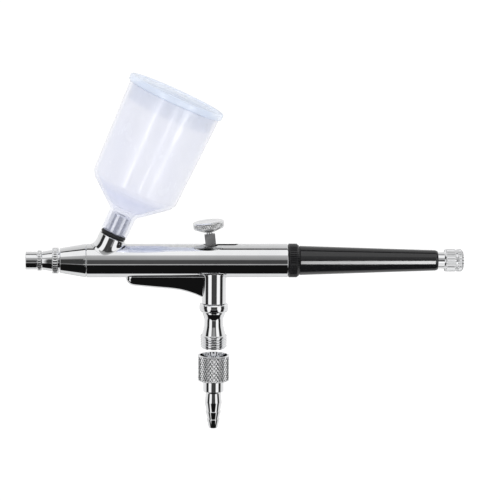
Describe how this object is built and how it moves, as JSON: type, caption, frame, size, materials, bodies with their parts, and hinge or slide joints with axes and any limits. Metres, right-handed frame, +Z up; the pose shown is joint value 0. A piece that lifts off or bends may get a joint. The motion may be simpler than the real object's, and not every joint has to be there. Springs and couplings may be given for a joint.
{
  "type": "airbrush gun",
  "caption": "Dual-action airbrush: trigger and air valve, needle mechanism, tilted gravity cup with lid, tapered handle with limit knob, and a screw-on hose tail.",
  "frame": {"origin": "where the needle axis crosses the air valve axis, at the middle of the grip", "axes": "+X along the needle towards the handle's end, so the nozzle points to -X; +Z up towards the trigger button; the gun's mirror plane is XZ"},
  "size_m": [0.1621, 0.0372, 0.1327],
  "materials": {
    "chrome": "polished chrome plate",
    "button_chrome": "satin chrome plate",
    "satin_steel": "satin",
    "needle_steel": "polished stainless steel",
    "spring_steel": "drawn wire",
    "brass": "turned brass",
    "black_enamel": "gloss black",
    "rubber": "matte",
    "ptfe": "waxy white",
    "cup_plastic": "milky translucent",
    "lid_plastic": "milky translucent"
  },
  "bodies": {
    "gun": {"main_body": "chrome", "cup_seat": "chrome", "valve_boss": "chrome", "finger_rest": "chrome", "spray_head": "chrome", "nozzle": "brass", "nozzle_seal": "ptfe", "needle_packing": "ptfe", "packing_screw": "brass", "needle_spring": "spring_steel", "spring_case": "brass", "valve_body": "chrome", "valve_spring": "spring_steel", "valve_screw": "brass"},
    "nozzle_cap": {"nozzle_cap": "chrome"},
    "needle_cap": {"needle_cap": "chrome"},
    "needle": {"needle": "needle_steel", "chuck_guide": "satin_steel", "chuck_nut": "satin_steel"},
    "plunger": {"valve_plunger": "brass", "valve_o_ring": "rubber"},
    "trigger": {"trigger_button": "button_chrome", "trigger_stem": "satin_steel"},
    "back_lever": {"back_lever": "satin_steel"},
    "handle": {"handle": "black_enamel", "handle_collar": "black_enamel", "handle_bush": "brass"},
    "limit_rod": {"limit_rod": "satin_steel"},
    "limit_knob": {"limit_knob": "chrome"},
    "cup": {"paint_cup": "cup_plastic", "cup_nipple": "chrome", "cup_o_ring": "rubber"},
    "lid": {"cup_lid": "lid_plastic"},
    "hose_tail": {"hose_tail": "chrome", "nut_seal": "rubber"},
    "coupling_nut": {"coupling_nut": "chrome"}
  },
  "joints": [
    {"name": "trigger_press", "type": "slide", "parent": "gun", "child": "plunger", "axis": [0, 0, -1], "range_m": [0, 0.0018], "stiffness_N_per_m": 600, "springref_m": -0.001, "deforming": ["valve_spring"]},
    {"name": "trigger_pull", "type": "hinge", "parent": "plunger", "child": "trigger", "pos_m": [0, 0, -0.0055], "axis": [0, 1, 0], "range_deg": [0, 24], "stiffness_Nm_per_rad": 0.03, "springref_deg": -5.73},
    {"name": "needle_slide", "type": "slide", "parent": "gun", "child": "needle", "axis": [1, 0, 0], "range_m": [0, 0.00241], "deforming": ["needle_spring"]},
    {"name": "back_lever_rock", "type": "hinge", "parent": "gun", "child": "back_lever", "pos_m": [0.0034, 0, -0.0055], "axis": [0, 1, 0], "range_deg": [0, 24.1]},
    {"name": "handle_pull", "type": "slide", "parent": "gun", "child": "handle", "axis": [1, 0, 0], "range_m": [0, 0.034]},
    {"name": "limit_rod_travel", "type": "slide", "parent": "handle", "child": "limit_rod", "axis": [1, 0, 0], "range_m": [-0.001, 0.0021]},
    {"name": "knob_turn", "type": "hinge", "parent": "limit_rod", "child": "limit_knob", "pos_m": [0.089, 0, 0], "axis": [1, 0, 0], "range_deg": [-516, 1081]},
    {"name": "nozzle_cap_pull", "type": "slide", "parent": "gun", "child": "nozzle_cap", "axis": [-1, 0, 0], "range_m": [0, 0.016]},
    {"name": "needle_cap_pull", "type": "slide", "parent": "nozzle_cap", "child": "needle_cap", "axis": [-1, 0, 0], "range_m": [0, 0.006]},
    {"name": "cup_lift", "type": "slide", "parent": "gun", "child": "cup", "axis": [0.4115, 0, 0.9114], "range_m": [0, 0.012]},
    {"name": "lid_lift", "type": "slide", "parent": "cup", "child": "lid", "axis": [0.4115, 0, 0.9114], "range_m": [0, 0.014]},
    {"name": "hose_tail_lift", "type": "slide", "parent": "gun", "child": "hose_tail", "axis": [0, 0, 1], "range_m": [0, 0.0083]},
    {"name": "coupling_nut_spin", "type": "hinge", "parent": "hose_tail", "child": "coupling_nut", "pos_m": [0, 0, -0.04], "axis": [0, 0, 1], "continuous": true}
  ],
  "couplings": [
    {"joint": "needle_slide", "follows": "trigger_pull", "m_per_rad": 0.00573},
    {"joint": "back_lever_rock", "follows": "trigger_pull", "ratio": 1},
    {"joint": "knob_turn", "follows": "limit_rod_travel", "rad_per_m": 8976}
  ]
}
